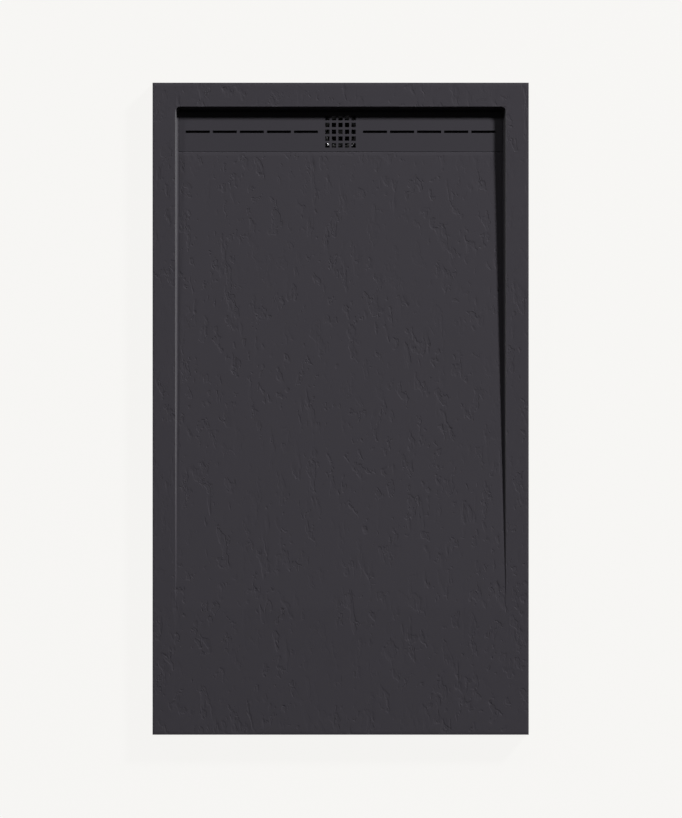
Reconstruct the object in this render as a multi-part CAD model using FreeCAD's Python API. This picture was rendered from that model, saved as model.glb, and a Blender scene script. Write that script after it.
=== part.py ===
import FreeCAD, Part

import math
import os

from FreeCAD import Vector

# A long shower tray cast in slate-textured mineral resin. Its floor falls to a drain
# channel at one end, under a slotted lift-out cover, and a siphon trap hangs below.
# Millimetres. The origin is the centre of the tray's underside, +Z is up, and +Y runs
# to the drain end.

# Tray casting
TRAY_WIDTH = 750.0
TRAY_LENGTH = 1300.0
TRAY_HEIGHT = 40.0
OUTER_EDGE_RADIUS = 1.0
SIDE_RIM = 45.0
DRAIN_END_RIM = 47.5
ENTRY_LENGTH = 252.0  # level with the rim, before the floor starts to fall
FLOOR_FALL = 18.0  # from the rim down to the drain cover's top
WALL_DRAFT = math.radians(14.0)
WALL_EDGE_ROUND = 3.0  # upper edge of the basin, cut here as a flat of the same reach
BASIN_CORNER_RADIUS = 9.0  # plan radius at the rim
BASIN_FOOT_RADIUS = 2.5  # plan radius at the foot of the walls

# Bonding grooves in the underside
GROOVE_WIDTH = 8.0
GROOVE_DEPTH = 2.0
GROOVE_PITCH = 75.0
GROOVE_EDGE_MARGIN = 50.0  # from the tray's side and end
GROOVE_TRAP_MARGIN = 40.0  # between a groove's end and the trap's recess

# Drain cover: a flat sheet on two rails with rubber pads
COVER_DEPTH = 79.5  # across the channel
COVER_THICKNESS = 2.0
COVER_CORNER_RADIUS = 1.5
COVER_SIDE_GAP = 1.2
COVER_FRONT_GAP = 0.8
COVER_REAR_GAP = 3.4
RAIL_WIDTH = 5.0
RAIL_HEIGHT = 2.5
RAIL_SETBACK = 1.0  # behind the sheet's long edge
RAIL_END_SETBACK = 10.0
PAD_LENGTH = 14.0
PAD_THICKNESS = 1.0
PAD_INNER_PLACE = 110.0  # from the middle, on both sides
PAD_END_INSET = 32.0  # from the sheet's end to the middle of the outer pads

# Openings in the cover
SLOT_LENGTH = 48.0
SLOT_WIDTH = 4.5
SLOT_PITCH = 54.0
SLOT_START = 45.0  # inner end of the first slot, from the middle
SLOT_END_MARGIN = 10.0  # least metal left beyond the last slot
GRID_COUNT = 5  # holes in each row and each column
GRID_PITCH_ALONG = 13.1
GRID_PITCH_ACROSS = 13.8
GRID_HOLE_LENGTH = 8.3
GRID_HOLE_WIDTH = 8.7

# Channel below the cover
CHANNEL_LEDGE = 6.75  # below the cover's long edges, where its rails rest
CHANNEL_END_LEDGE = 7.0
CHANNEL_DEPTH = 3.0  # from the ledge down to the channel's lowest point
CHANNEL_FALL = 1.5  # from each end to the waste
CHANNEL_CORNER_RADIUS = 10.0

# Waste hole and the trap's recess in the underside
WASTE_HOLE_CLEARANCE = 1.5  # around the ring's threaded stub
SEAT_CLEARANCE = 1.0  # around the ring's plate
SEAT_DEPTH = 5.0  # below the channel's lowest point
RECESS_CLEARANCE = 6.0  # around the trap's collar
RECESS_DEPTH = 2.0

# Clamp ring, screwed down into the trap, and the bright ring on top of it
RING_RADIUS = 37.5
RING_THICKNESS = 1.8
RING_BORE_RADIUS = 28.5
RING_STUB_WALL = 2.0
RING_STUB_REACH = 12.0  # below the tray's underside
RING_LIP_WIDTH = 2.2  # inner lip that carries the dip tube
RING_LIP_HEIGHT = 2.0
RING_RIM_WIDTH = 2.0
RING_RIM_RISE = 0.7
RING_RIM_SLOPE = 1.5
TRIM_THICKNESS = 0.8
TRIM_CLEARANCE = 0.1
TRIM_INNER_SLOPE = 1.2
TRIM_INNER_DROP = 0.6
GASKET_THICKNESS = 1.1
GASKET_INSET = 0.5
SLIP_WASHER_THICKNESS = 0.5

# Trap body and base
THREAD_CLEARANCE = 0.2
COLLAR_RADIUS = 50.0
COLLAR_THICKNESS = 5.3
COLLAR_GASKET_THICKNESS = 1.7
COLLAR_GASKET_WIDTH = 15.0
NECK_WALL = 2.8
TRAP_RADIUS = 46.0
TRAP_WALL = 2.5
TRAP_SHOULDER = 3.0
TRAP_DEPTH = 64.0  # underside of the tray to the pot's open bottom
BASE_THICKNESS = 2.5
BASE_SPIGOT_HEIGHT = 4.0
BASE_SPIGOT_WALL = 2.3
BASE_CLEARANCE = 0.2
WEIR_RADIUS = 34.8
WEIR_WALL = 1.8
WEIR_GAP = 6.0  # between the neck's lower end and the weir's top

# Dip tube and its ring seal
DIP_CLEARANCE = 0.6
DIP_WALL = 1.5
DIP_TUBE_GAP = 0.8  # between the tube and the ring's lip
DIP_COLLAR_HEIGHT = 7.0
DIP_FLOOR_GAP = 7.0
LIFT_BAR_RADIUS = 1.5
LIFT_BAR_DROP = 18.0  # collar's top to the bar's axis
LIFT_BAR_CLEARANCE = 0.1
ORING_RADIUS = 1.1
ORING_GROOVE_ROOM = 0.2
ORING_BORE_GAP = 0.25

# Hair strainer
STRAINER_RIM_GAP = 0.9
STRAINER_RIM_THICKNESS = 1.5
STRAINER_WALL = 1.3
STRAINER_TUBE_GAP = 0.7
STRAINER_DEPTH = 11.0
STRAINER_HOLE_RADIUS = 1.8
STRAINER_HOLE_ROWS = ((9.0, 8), (16.0, 14))  # circle radius, number of holes
STRAINER_SLIT_WIDTH = 2.0
STRAINER_SLIT_HEIGHT = 5.0
STRAINER_SLIT_COUNT = 12
KNOB_STEM_RADIUS = 2.5
KNOB_STEM_CLEARANCE = 0.1
KNOB_RADIUS = 6.0
KNOB_HEIGHT = 2.0
KNOB_TOP_LEVEL = 3.0
KNOB_SHOULDER_RADIUS = 4.0
KNOB_SHOULDER_HEIGHT = 1.5
KNOB_BARB_RADIUS = 3.4
KNOB_BARB_HEIGHT = 1.2

# Outlet: ball joint, seal, slip ring, nut and pipe end
PIPE_RADIUS = 20.0
PIPE_WALL = 2.0
PIPE_REACH = 70.0  # from the ball's centre
PIPE_CHAMFER = 1.0
BALL_PROUD = 5.0  # beyond the pipe's outside
BALL_CLEARANCE = 0.3
BALL_REAR_CUT = 15.0  # behind the ball's centre
OUTLET_NECK_WALL = 4.0
OUTLET_NECK_RISE = 1.0  # between the neck and the pot's open bottom
SOCKET_WALL = 3.2
SOCKET_LENGTH = 20.0
SEAL_RADIUS = 1.6
SEAL_GAP = 0.2
SEAL_SETBACK = 9.2  # behind the ball's centre
SEAL_GROOVE_ROOM = 0.2
SLIP_RING_THICKNESS = 2.0
NUT_WALL = 5.3
NUT_SKIRT = 14.0  # behind the ball's centre
NUT_NOSE = 12.5  # in front of the ball's centre
NUT_COLLAR_GAP = 4.0
NUT_MOUTH_CLEARANCE = 2.9  # around the pipe, for its swing
NUT_GRIP_COUNT = 14
NUT_GRIP_RADIUS = 3.0
NUT_GRIP_DEPTH = 1.5

# Small overlap that lets a cut run clear through a face
OVERCUT = 1.0

# Levels and places that follow from the sizes
rim_level = TRAY_HEIGHT
cover_level = rim_level - FLOOR_FALL
cover_underside = cover_level - COVER_THICKNESS
ledge_level = cover_underside - RAIL_HEIGHT - PAD_THICKNESS
channel_low = ledge_level - CHANNEL_DEPTH
channel_high = channel_low + CHANNEL_FALL
seat_level = channel_low - SEAT_DEPTH

round_reach = WALL_EDGE_ROUND * math.tan((math.pi / 2 - WALL_DRAFT) / 2)
flat_drop = round_reach * math.cos(WALL_DRAFT)
flat_inset = round_reach + round_reach * math.sin(WALL_DRAFT)
foot_inset = round_reach + FLOOR_FALL * math.tan(WALL_DRAFT)
basin_half = TRAY_WIDTH / 2 - SIDE_RIM
basin_rear = TRAY_LENGTH / 2 - DRAIN_END_RIM
slope_start = -TRAY_LENGTH / 2 + ENTRY_LENGTH
pocket_half = basin_half - foot_inset
pocket_rear = basin_rear - foot_inset
cover_half = pocket_half - COVER_SIDE_GAP
cover_rear = pocket_rear - COVER_REAR_GAP
cover_front = cover_rear - COVER_DEPTH
pocket_front = cover_front - COVER_FRONT_GAP
waste_y = (cover_front + cover_rear) / 2
slot_room = cover_half - SLOT_END_MARGIN - SLOT_START
slot_count = int((slot_room + SLOT_PITCH - SLOT_LENGTH) // SLOT_PITCH)

gasket_top = seat_level + GASKET_THICKNESS
ring_underside = gasket_top + SLIP_WASHER_THICKNESS
ring_top = ring_underside + RING_THICKNESS
stub_radius = RING_BORE_RADIUS + RING_STUB_WALL
waste_hole_radius = stub_radius + WASTE_HOLE_CLEARANCE
lip_radius = RING_BORE_RADIUS - RING_LIP_WIDTH
lip_level = RING_LIP_HEIGHT - RING_STUB_REACH
recess_radius = COLLAR_RADIUS + RECESS_CLEARANCE
collar_top = RECESS_DEPTH - COLLAR_GASKET_THICKNESS
collar_bottom = collar_top - COLLAR_THICKNESS
neck_bore = stub_radius + THREAD_CLEARANCE
neck_bottom = -RING_STUB_REACH
pot_bore = TRAP_RADIUS - TRAP_WALL
weir_top = neck_bottom - WEIR_GAP
dip_collar_radius = RING_BORE_RADIUS - DIP_CLEARANCE
dip_collar_top = lip_level + DIP_COLLAR_HEIGHT
dip_radius = lip_radius - DIP_TUBE_GAP
dip_bore = dip_radius - DIP_WALL
dip_bottom = DIP_FLOOR_GAP - TRAP_DEPTH
lift_bar_level = dip_collar_top - LIFT_BAR_DROP
strainer_floor_bottom = dip_collar_top - STRAINER_DEPTH
strainer_floor_top = strainer_floor_bottom + STRAINER_WALL

ball_reach = COLLAR_RADIUS + NUT_COLLAR_GAP + NUT_SKIRT
neck_end = ball_reach - SOCKET_LENGTH
pipe_bore = PIPE_RADIUS - PIPE_WALL
outlet_neck_radius = pipe_bore + OUTLET_NECK_WALL
outlet_level = outlet_neck_radius + OUTLET_NECK_RISE - TRAP_DEPTH
ball_radius = PIPE_RADIUS + BALL_PROUD
seat_ball_radius = ball_radius + BALL_CLEARANCE
socket_radius = seat_ball_radius + SOCKET_WALL


def box(x0, x1, y0, y1, z0, z1):
    return Part.makeBox(x1 - x0, y1 - y0, z1 - z0, Vector(x0, y0, z0))


def rounded_outline(x0, x1, y0, y1, radius, level):
    """A closed rectangle with round corners, level with the ground."""
    diagonal = radius * math.cos(math.pi / 4)
    edges = []
    corners = (
        (x1 - radius, y1 - radius, 1, 1),
        (x0 + radius, y1 - radius, -1, 1),
        (x0 + radius, y0 + radius, -1, -1),
        (x1 - radius, y0 + radius, 1, -1),
    )
    last = None
    first = None
    for cx, cy, sx, sy in corners:
        on_x = Vector(cx + sx * radius, cy, level)
        on_y = Vector(cx, cy + sy * radius, level)
        middle = Vector(cx + sx * diagonal, cy + sy * diagonal, level)
        start, end = (on_x, on_y) if sx == sy else (on_y, on_x)
        if last is not None:
            edges.append(Part.LineSegment(last, start).toShape())
        edges.append(Part.Arc(start, middle, end).toShape())
        first = first or start
        last = end
    edges.append(Part.LineSegment(last, first).toShape())
    return Part.Wire(edges)


def rounded_block(x0, x1, y0, y1, radius, z0, z1):
    outline = rounded_outline(x0, x1, y0, y1, radius, z0)
    return Part.Face(outline).extrude(Vector(0, 0, z1 - z0))


def turned(points):
    """A solid of revolution about the waste's upright axis, from (radius, level) points."""
    corners = [Vector(r, waste_y, z) for r, z in points]
    face = Part.Face(Part.makePolygon(corners + corners[:1]))
    return face.revolve(Vector(0, waste_y, 0), Vector(0, 0, 1), 360)


def upright(radius, z0, z1, x=0.0, y=None):
    centre = Vector(x, waste_y if y is None else y, z0)
    return Part.makeCylinder(radius, z1 - z0, centre)


def ring(inner, outer, z0, z1):
    return upright(outer, z0, z1).cut(upright(inner, z0 - OVERCUT, z1 + OVERCUT))


def level_rod(radius, reach0, reach1):
    """A cylinder along the outlet's axis, between two distances from the waste's axis."""
    start = Vector(0, waste_y - reach0, outlet_level)
    return Part.makeCylinder(radius, reach1 - reach0, start, Vector(0, -1, 0))


def outlet_ball_solid(radius):
    return Part.makeSphere(radius, Vector(0, waste_y - ball_reach, outlet_level))


def basin_outline(level, inset):
    """Outline of the basin at one level; its front end lies on the level entry ground."""
    front = slope_start - 2 * BASIN_CORNER_RADIUS
    half = basin_half - inset
    narrowing = (BASIN_CORNER_RADIUS - BASIN_FOOT_RADIUS) * inset / foot_inset
    radius = BASIN_CORNER_RADIUS - narrowing
    return rounded_outline(-half, half, front, basin_rear - inset, radius, level)


def basin_void():
    edge_slope = flat_inset / flat_drop
    edge_flat = Part.makeLoft(
        [
            basin_outline(rim_level + OVERCUT, -edge_slope * OVERCUT),
            basin_outline(rim_level - flat_drop, flat_inset),
        ],
        True,
        True,
    )
    walls = Part.makeLoft(
        [
            basin_outline(rim_level - flat_drop, flat_inset),
            basin_outline(cover_level, foot_inset),
        ],
        True,
        True,
    )
    side = [
        Vector(-TRAY_WIDTH, slope_start, rim_level),
        Vector(-TRAY_WIDTH, pocket_front, cover_level),
        Vector(-TRAY_WIDTH, TRAY_LENGTH, cover_level),
        Vector(-TRAY_WIDTH, TRAY_LENGTH, rim_level + 2 * OVERCUT),
        Vector(-TRAY_WIDTH, slope_start, rim_level + 2 * OVERCUT),
    ]
    above_floor = Part.Face(Part.makePolygon(side + side[:1]))
    above_floor = above_floor.extrude(Vector(2 * TRAY_WIDTH, 0, 0))
    return edge_flat.fuse(walls).common(above_floor)


def channel_void():
    """The cover's pocket, the channel that falls to the middle, and the ring's seat."""
    pocket_top = cover_level + OVERCUT
    pocket = rounded_block(
        -pocket_half,
        pocket_half,
        pocket_front - 2 * BASIN_FOOT_RADIUS,
        pocket_rear,
        BASIN_FOOT_RADIUS,
        ledge_level,
        pocket_top,
    ).common(box(-TRAY_WIDTH, TRAY_WIDTH, pocket_front, TRAY_LENGTH, ledge_level, pocket_top))
    half = pocket_half - CHANNEL_END_LEDGE
    near = cover_front + CHANNEL_LEDGE
    far = cover_rear - CHANNEL_LEDGE
    section = [
        Vector(-half, near, channel_high),
        Vector(0, near, channel_low),
        Vector(half, near, channel_high),
        Vector(half, near, ledge_level + OVERCUT),
        Vector(-half, near, ledge_level + OVERCUT),
    ]
    channel = Part.Face(Part.makePolygon(section + section[:1]))
    channel = channel.extrude(Vector(0, far - near, 0))
    channel = channel.common(
        rounded_block(-half, half, near, far, CHANNEL_CORNER_RADIUS, seat_level, cover_level)
    )
    seat = upright(RING_RADIUS + SEAT_CLEARANCE, seat_level, ledge_level + OVERCUT)
    return pocket.fuse([channel, seat])


def bonding_grooves():
    first = -TRAY_LENGTH / 2 + GROOVE_EDGE_MARGIN
    last = waste_y - recess_radius - GROOVE_TRAP_MARGIN
    reach = TRAY_WIDTH / 2 - GROOVE_EDGE_MARGIN - GROOVE_WIDTH / 2
    pairs = int((reach + GROOVE_PITCH / 2) // GROOVE_PITCH)
    grooves = []
    for index in range(-pairs, pairs):
        x = (index + 0.5) * GROOVE_PITCH
        half = GROOVE_WIDTH / 2
        grooves.append(box(x - half, x + half, first, last, -OVERCUT, GROOVE_DEPTH))
    return grooves


def tray_body():
    block = box(
        -TRAY_WIDTH / 2, TRAY_WIDTH / 2, -TRAY_LENGTH / 2, TRAY_LENGTH / 2, 0, TRAY_HEIGHT
    )
    top_edges = [
        edge
        for edge in block.Edges
        if abs(edge.BoundBox.ZMin - TRAY_HEIGHT) < 1e-6 and abs(edge.BoundBox.ZLength) < 1e-6
    ]
    body = block.makeFillet(OUTER_EDGE_RADIUS, top_edges)
    hole = upright(waste_hole_radius, -OVERCUT, seat_level + OVERCUT)
    recess = upright(recess_radius, -OVERCUT, RECESS_DEPTH)
    return body.cut([basin_void(), channel_void(), hole, recess] + bonding_grooves())


def cover_cuts():
    """Punched slots along both halves and a grid of near-square holes in the middle."""
    z0 = cover_underside - OVERCUT
    z1 = cover_level + OVERCUT
    cuts = []
    for index in range(slot_count):
        start = SLOT_START + index * SLOT_PITCH
        end = start + SLOT_LENGTH
        for x0, x1 in ((start, end), (-end, -start)):
            cuts.append(box(x0, x1, waste_y - SLOT_WIDTH / 2, waste_y + SLOT_WIDTH / 2, z0, z1))
    middle = (GRID_COUNT - 1) / 2
    for column in range(GRID_COUNT):
        x = (column - middle) * GRID_PITCH_ALONG
        for row in range(GRID_COUNT):
            y = waste_y + (row - middle) * GRID_PITCH_ACROSS
            half_x = GRID_HOLE_LENGTH / 2
            half_y = GRID_HOLE_WIDTH / 2
            cuts.append(box(x - half_x, x + half_x, y - half_y, y + half_y, z0, z1))
    return cuts


def drain_cover():
    sheet = rounded_block(
        -cover_half,
        cover_half,
        cover_front,
        cover_rear,
        COVER_CORNER_RADIUS,
        cover_underside,
        cover_level,
    )
    return sheet.cut(cover_cuts())


def rail_rows():
    """Near and far edge of the front rail and of the rear rail."""
    front = cover_front + RAIL_SETBACK
    rear = cover_rear - RAIL_SETBACK
    return ((front, front + RAIL_WIDTH), (rear - RAIL_WIDTH, rear))


def cover_rails():
    half = cover_half - RAIL_END_SETBACK
    z0 = cover_underside - RAIL_HEIGHT
    rails = [box(-half, half, y0, y1, z0, cover_underside) for y0, y1 in rail_rows()]
    return Part.makeCompound(rails)


def cover_pads():
    z1 = cover_underside - RAIL_HEIGHT
    half = PAD_LENGTH / 2
    pads = []
    for y0, y1 in rail_rows():
        for place in (PAD_INNER_PLACE, cover_half - PAD_END_INSET):
            for x in (-place, place):
                pads.append(box(x - half, x + half, y0, y1, z1 - PAD_THICKNESS, z1))
    return Part.makeCompound(pads)


def ring_surface(level):
    """Upper line of a ring from its bore to its edge: a flat with a raised outer rim."""
    rim_start = RING_RADIUS - RING_RIM_WIDTH
    return [
        (RING_BORE_RADIUS, level - TRIM_INNER_DROP),
        (RING_BORE_RADIUS + TRIM_INNER_SLOPE, level),
        (rim_start - RING_RIM_SLOPE, level),
        (rim_start, level + RING_RIM_RISE),
        (RING_RADIUS, level + RING_RIM_RISE),
    ]


def clamp_ring():
    points = ring_surface(ring_top) + [
        (RING_RADIUS, ring_underside),
        (stub_radius, ring_underside),
        (stub_radius, -RING_STUB_REACH),
        (lip_radius, -RING_STUB_REACH),
        (lip_radius, lip_level),
        (RING_BORE_RADIUS, lip_level),
    ]
    return turned(points)


def trim_ring():
    lower = ring_surface(ring_top + TRIM_CLEARANCE)
    upper = [(r, z + TRIM_THICKNESS) for r, z in lower]
    return turned(lower + upper[::-1])


def flange_gasket():
    inner = waste_hole_radius + GASKET_INSET
    return ring(inner, RING_RADIUS - GASKET_INSET, seat_level, gasket_top)


def slip_washer():
    inner = waste_hole_radius + GASKET_INSET
    return ring(inner, RING_RADIUS - GASKET_INSET, gasket_top, ring_underside)


def collar_gasket():
    outer = COLLAR_RADIUS - GASKET_INSET
    return ring(outer - COLLAR_GASKET_WIDTH, outer, collar_top, RECESS_DEPTH)


def trap_body():
    collar = upright(COLLAR_RADIUS, collar_bottom, collar_top)
    pot = upright(TRAP_RADIUS, -TRAP_DEPTH, collar_bottom)
    neck = level_rod(outlet_neck_radius, 0, neck_end)
    socket = level_rod(socket_radius, neck_end, ball_reach)
    solid = pot.fuse([collar, neck, socket])
    cavity = upright(pot_bore, -TRAP_DEPTH - OVERCUT, collar_bottom - TRAP_SHOULDER)
    boss = upright(neck_bore + NECK_WALL, neck_bottom, collar_top)
    mouth = upright(neck_bore, neck_bottom - OVERCUT, collar_top + OVERCUT)
    bore = level_rod(pipe_bore, 0, ball_reach)
    groove_start = ball_reach - SEAL_SETBACK - SEAL_RADIUS - SEAL_GROOVE_ROOM
    groove_end = ball_reach - SEAL_SETBACK + SEAL_RADIUS + SEAL_GROOVE_ROOM
    groove = level_rod(seal_ring_radius() + SEAL_RADIUS + SEAL_GROOVE_ROOM, groove_start, groove_end)
    inside = cavity.cut(boss).fuse(mouth)
    return solid.cut([inside, bore, outlet_ball_solid(seat_ball_radius), groove])


def trap_base():
    """Welded floor of the trap, with the upright weir that holds the water back."""
    disc = upright(TRAP_RADIUS, -TRAP_DEPTH - BASE_THICKNESS, -TRAP_DEPTH)
    spigot_radius = pot_bore - BASE_CLEARANCE
    spigot_top = BASE_SPIGOT_HEIGHT - TRAP_DEPTH
    spigot = ring(spigot_radius - BASE_SPIGOT_WALL, spigot_radius, -TRAP_DEPTH, spigot_top)
    weir = ring(WEIR_RADIUS - WEIR_WALL, WEIR_RADIUS, -TRAP_DEPTH, weir_top)
    return disc.fuse([spigot, weir])


def oring_centre():
    """Radius and level of the dip tube's ring seal."""
    radius = RING_BORE_RADIUS - ORING_BORE_GAP - ORING_RADIUS
    return radius, lip_level + DIP_COLLAR_HEIGHT / 2


def dip_tube():
    tube = upright(dip_radius, dip_bottom, lip_level)
    collar = upright(dip_collar_radius, lip_level, dip_collar_top)
    bore = upright(dip_bore, dip_bottom - OVERCUT, dip_collar_top + OVERCUT)
    radius, level = oring_centre()
    half = ORING_RADIUS + ORING_GROOVE_ROOM
    groove = ring(radius - half, RING_BORE_RADIUS, level - half, level + half)
    bar_hole = lift_bar_rod(LIFT_BAR_RADIUS + LIFT_BAR_CLEARANCE)
    return tube.fuse(collar).cut([bore, groove, bar_hole])


def lift_bar_rod(radius):
    start = Vector(-dip_radius, waste_y, lift_bar_level)
    return Part.makeCylinder(radius, 2 * dip_radius, start, Vector(1, 0, 0))


def lift_bar():
    return lift_bar_rod(LIFT_BAR_RADIUS)


def dip_tube_oring():
    radius, level = oring_centre()
    return Part.makeTorus(radius, ORING_RADIUS, Vector(0, waste_y, level))


def strainer_holes(z0, z1):
    holes = []
    for circle, count in STRAINER_HOLE_ROWS:
        for index in range(count):
            turn = 2 * math.pi * index / count
            x = circle * math.cos(turn)
            y = waste_y + circle * math.sin(turn)
            holes.append(upright(STRAINER_HOLE_RADIUS, z0, z1, x, y))
    return holes


def hair_strainer():
    rim_bottom = dip_collar_top
    rim_top = rim_bottom + STRAINER_RIM_THICKNESS
    basket_radius = dip_bore - STRAINER_TUBE_GAP
    rim = upright(dip_collar_radius - STRAINER_RIM_GAP, rim_bottom, rim_top)
    basket = upright(basket_radius, strainer_floor_bottom, rim_top)
    hollow = upright(basket_radius - STRAINER_WALL, strainer_floor_top, rim_top + OVERCUT)
    cuts = strainer_holes(strainer_floor_bottom - OVERCUT, strainer_floor_top + OVERCUT)
    slit_middle = (strainer_floor_top + rim_bottom) / 2
    half = STRAINER_SLIT_WIDTH / 2
    for index in range(STRAINER_SLIT_COUNT):
        slit = box(
            basket_radius - 2 * STRAINER_WALL,
            basket_radius + OVERCUT,
            waste_y - half,
            waste_y + half,
            slit_middle - STRAINER_SLIT_HEIGHT / 2,
            slit_middle + STRAINER_SLIT_HEIGHT / 2,
        )
        turn = 360.0 * index / STRAINER_SLIT_COUNT
        slit.rotate(Vector(0, waste_y, 0), Vector(0, 0, 1), turn)
        cuts.append(slit)
    stem_radius = KNOB_STEM_RADIUS + KNOB_STEM_CLEARANCE
    cuts.append(upright(stem_radius, strainer_floor_bottom - OVERCUT, strainer_floor_top + OVERCUT))
    return rim.fuse(basket).cut([hollow] + cuts)


def strainer_knob():
    """Grip that snaps through the strainer's floor, with a shoulder above and a barb below."""
    barb_bottom = strainer_floor_bottom - KNOB_BARB_HEIGHT
    shoulder_top = strainer_floor_top + KNOB_SHOULDER_HEIGHT
    knob_bottom = KNOB_TOP_LEVEL - KNOB_HEIGHT
    return turned(
        [
            (0, barb_bottom),
            (KNOB_STEM_RADIUS, barb_bottom),
            (KNOB_BARB_RADIUS, strainer_floor_bottom),
            (KNOB_STEM_RADIUS, strainer_floor_bottom),
            (KNOB_STEM_RADIUS, strainer_floor_top),
            (KNOB_SHOULDER_RADIUS, strainer_floor_top),
            (KNOB_SHOULDER_RADIUS, shoulder_top),
            (KNOB_STEM_RADIUS, shoulder_top),
            (KNOB_STEM_RADIUS, knob_bottom),
            (KNOB_RADIUS, knob_bottom),
            (KNOB_RADIUS, KNOB_TOP_LEVEL),
            (0, KNOB_TOP_LEVEL),
        ]
    )


def seal_ring_radius():
    """Radius of the outlet seal's centre line, set where it bears on the ball."""
    reach = ball_radius + SEAL_GAP + SEAL_RADIUS
    return math.sqrt(reach**2 - SEAL_SETBACK**2)


def outlet_seal():
    centre = Vector(0, waste_y - ball_reach + SEAL_SETBACK, outlet_level)
    return Part.makeTorus(seal_ring_radius(), SEAL_RADIUS, centre, Vector(0, 1, 0))


def outlet_slip_ring():
    end = ball_reach + SLIP_RING_THICKNESS
    disc = level_rod(socket_radius, ball_reach, end)
    return disc.cut(level_rod(seat_ball_radius, ball_reach - OVERCUT, end + OVERCUT))


def outlet_nut():
    thread_radius = socket_radius + THREAD_CLEARANCE
    outer = thread_radius + NUT_WALL
    seat_start = ball_reach + SLIP_RING_THICKNESS
    start = ball_reach - NUT_SKIRT
    end = ball_reach + NUT_NOSE
    body = level_rod(outer, start, end)
    cuts = [
        level_rod(thread_radius, start - OVERCUT, seat_start),
        level_rod(PIPE_RADIUS + NUT_MOUTH_CLEARANCE, seat_start - OVERCUT, end + OVERCUT),
        outlet_ball_solid(seat_ball_radius),
    ]
    grip_centre = outer + NUT_GRIP_RADIUS - NUT_GRIP_DEPTH
    for index in range(NUT_GRIP_COUNT):
        turn = 2 * math.pi * index / NUT_GRIP_COUNT
        grip = level_rod(NUT_GRIP_RADIUS, start - OVERCUT, end + OVERCUT)
        grip.translate(Vector(grip_centre * math.cos(turn), 0, grip_centre * math.sin(turn)))
        cuts.append(grip)
    return body.cut(cuts)


def outlet_ball():
    end = ball_reach + PIPE_REACH
    ball = outlet_ball_solid(ball_radius)
    rear = level_rod(2 * ball_radius, ball_reach - 2 * ball_radius, ball_reach - BALL_REAR_CUT)
    pipe = level_rod(PIPE_RADIUS, ball_reach, end - PIPE_CHAMFER)
    nose = Part.makeCone(
        PIPE_RADIUS,
        PIPE_RADIUS - PIPE_CHAMFER,
        PIPE_CHAMFER,
        Vector(0, waste_y - end + PIPE_CHAMFER, outlet_level),
        Vector(0, -1, 0),
    )
    bore = level_rod(pipe_bore, ball_reach - 2 * ball_radius, end + OVERCUT)
    return ball.fuse([pipe, nose]).cut([rear, bore])


NODES = {
    "tray_body": tray_body,
    "drain_cover": drain_cover,
    "cover_rails": cover_rails,
    "cover_pads": cover_pads,
    "trim_ring": trim_ring,
    "clamp_ring": clamp_ring,
    "slip_washer": slip_washer,
    "flange_gasket": flange_gasket,
    "collar_gasket": collar_gasket,
    "trap_body": trap_body,
    "trap_base": trap_base,
    "dip_tube": dip_tube,
    "dip_tube_oring": dip_tube_oring,
    "lift_bar": lift_bar,
    "hair_strainer": hair_strainer,
    "strainer_knob": strainer_knob,
    "outlet_ball": outlet_ball,
    "outlet_seal": outlet_seal,
    "outlet_slip_ring": outlet_slip_ring,
    "outlet_nut": outlet_nut,
}

os.makedirs("parts", exist_ok=True)
for name, make in NODES.items():
    shape = make().removeSplitter()
    shape.exportStep(f"parts/{name}.step")
    box_size = shape.BoundBox
    print(
        f"{name}: {len(shape.Solids)} solid(s), valid {shape.isValid()}, "
        f"{shape.Volume / 1000:.1f} cm3, "
        f"x {box_size.XMin:.1f}..{box_size.XMax:.1f}, "
        f"y {box_size.YMin:.1f}..{box_size.YMax:.1f}, "
        f"z {box_size.ZMin:.1f}..{box_size.ZMax:.1f}"
    )
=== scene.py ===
import math

import bmesh
import bpy
import numpy as np
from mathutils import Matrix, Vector


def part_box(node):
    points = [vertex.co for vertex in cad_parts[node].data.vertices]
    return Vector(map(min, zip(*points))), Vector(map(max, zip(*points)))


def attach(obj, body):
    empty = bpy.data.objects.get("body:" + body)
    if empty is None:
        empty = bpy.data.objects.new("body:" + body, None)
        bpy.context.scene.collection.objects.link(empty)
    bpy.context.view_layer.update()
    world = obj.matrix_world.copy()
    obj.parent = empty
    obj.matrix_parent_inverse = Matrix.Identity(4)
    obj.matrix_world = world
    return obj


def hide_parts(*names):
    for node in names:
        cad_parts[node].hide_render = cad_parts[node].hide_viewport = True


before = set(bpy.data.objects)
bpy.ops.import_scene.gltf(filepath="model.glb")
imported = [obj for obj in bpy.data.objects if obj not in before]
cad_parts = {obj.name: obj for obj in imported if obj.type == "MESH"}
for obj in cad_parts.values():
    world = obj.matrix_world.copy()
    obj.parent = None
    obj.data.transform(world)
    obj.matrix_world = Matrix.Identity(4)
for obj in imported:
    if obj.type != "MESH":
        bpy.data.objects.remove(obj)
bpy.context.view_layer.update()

# Tray casting
# One casting of stone-filled resin, dark grey all through, poured on a slate mould. The rim
# and the floor carry the slate's flaked surface, and the drain pocket, the channel and the
# underside are plain. It lies in adhesive on the bathroom floor, which keys into its grooves.
tray_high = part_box("tray_body")[1]
cover_low, cover_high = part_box("drain_cover")
waste_low, waste_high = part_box("clamp_ring")
HALF_WIDTH = tray_high.x
HALF_LENGTH = tray_high.y
RIM = tray_high.z
FLOOR_END = cover_high.z
SIDE_RIM = 0.0452
DRAIN_END_RIM = 0.0475
ENTRY_LENGTH = 0.252
OUTER_ROUND = 0.0004
ROUND_TURNS = np.radians([0, 30, 60, 90])
SIDE_EDGE_ROUND = 0.0018
REAR_EDGE_ROUND = 0.0007
STEEPEST = math.radians(87)
FOOT_ROUND = 0.0044
SHALLOW_FOOT_ROUND = 0.0015
FOOT_GROWTH = 0.165
WALL_EDGE_STEPS = 4
WALL_FOOT_STEPS = 5
CORNER_RADIUS = 0.009
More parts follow.
